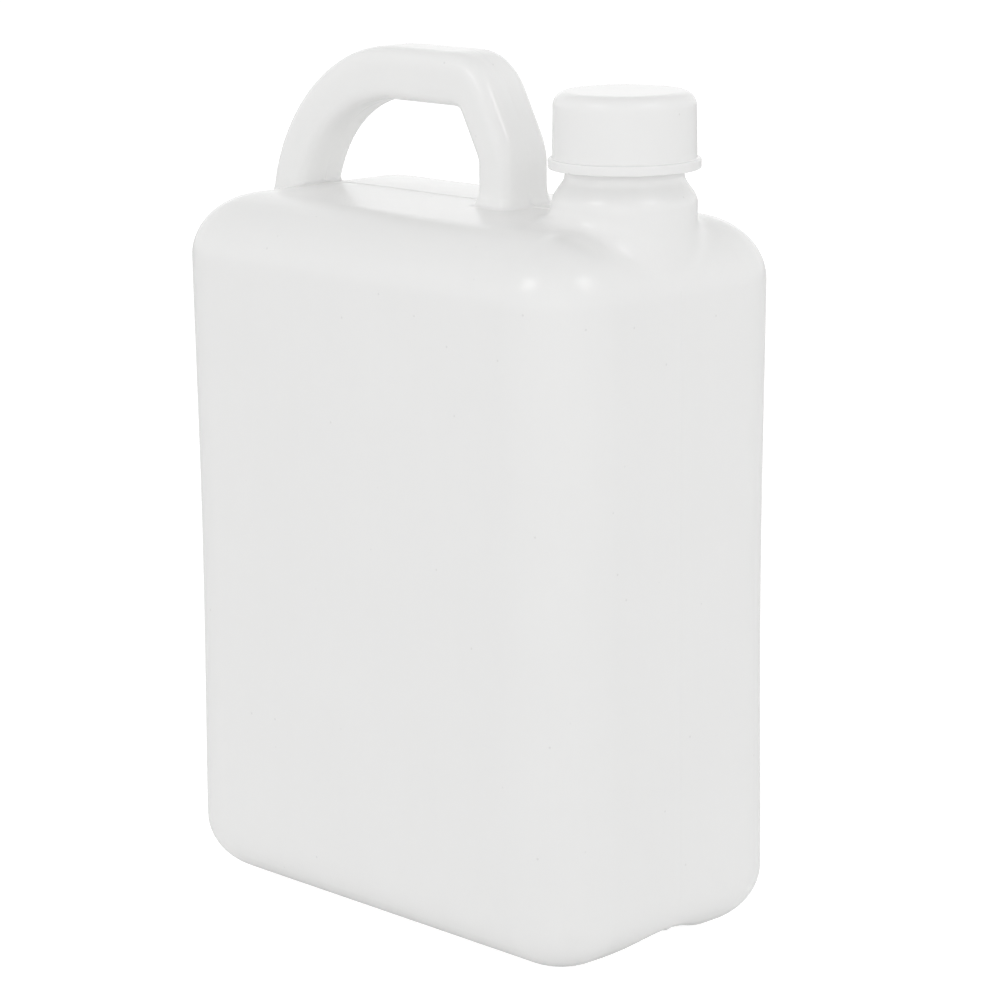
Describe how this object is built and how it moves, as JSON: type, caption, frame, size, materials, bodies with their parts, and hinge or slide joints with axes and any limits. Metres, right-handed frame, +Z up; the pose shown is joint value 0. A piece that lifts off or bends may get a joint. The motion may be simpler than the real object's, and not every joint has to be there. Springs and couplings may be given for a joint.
{
  "type": "plastic chemical bottle",
  "caption": "Flat upright plastic bottle with a moulded top handle, an offset screw neck at one end and a round screw cap, for carrying and pouring liquid chemicals.",
  "frame": {"origin": "middle of the box under the bottle, on the plane its feet stand on", "axes": "+Z up, the longest extent; X along the wide side with the neck at +X; +Y across the bottle, the shortest extent, and the handle lies in the plane y = 0"},
  "size_m": [0.2038, 0.1162, 0.3081],
  "materials": {
    "bottle_plastic": "satin, natural translucent polyethylene",
    "cap_plastic": "satin, natural translucent polyethylene",
    "liner_foam": "fine white foam"
  },
  "bodies": {
    "bottle": {"bottle": "bottle_plastic"},
    "liner": {"cap_liner": "liner_foam"},
    "cap": {"screw_cap": "cap_plastic"}
  },
  "joints": [
    {"name": "cap_lift", "type": "slide", "parent": "bottle", "child": "liner", "axis": [0, 0, 1], "range_m": [0, 0.0251]},
    {"name": "cap_turn", "type": "hinge", "parent": "liner", "child": "cap", "pos_m": [0.0749, 0, 0.29], "axis": [0, 0, 1], "range_deg": [0, 1800]}
  ],
  "couplings": [
    {"joint": "cap_lift", "follows": "cap_turn", "m_per_rad": 0.00079577}
  ]
}
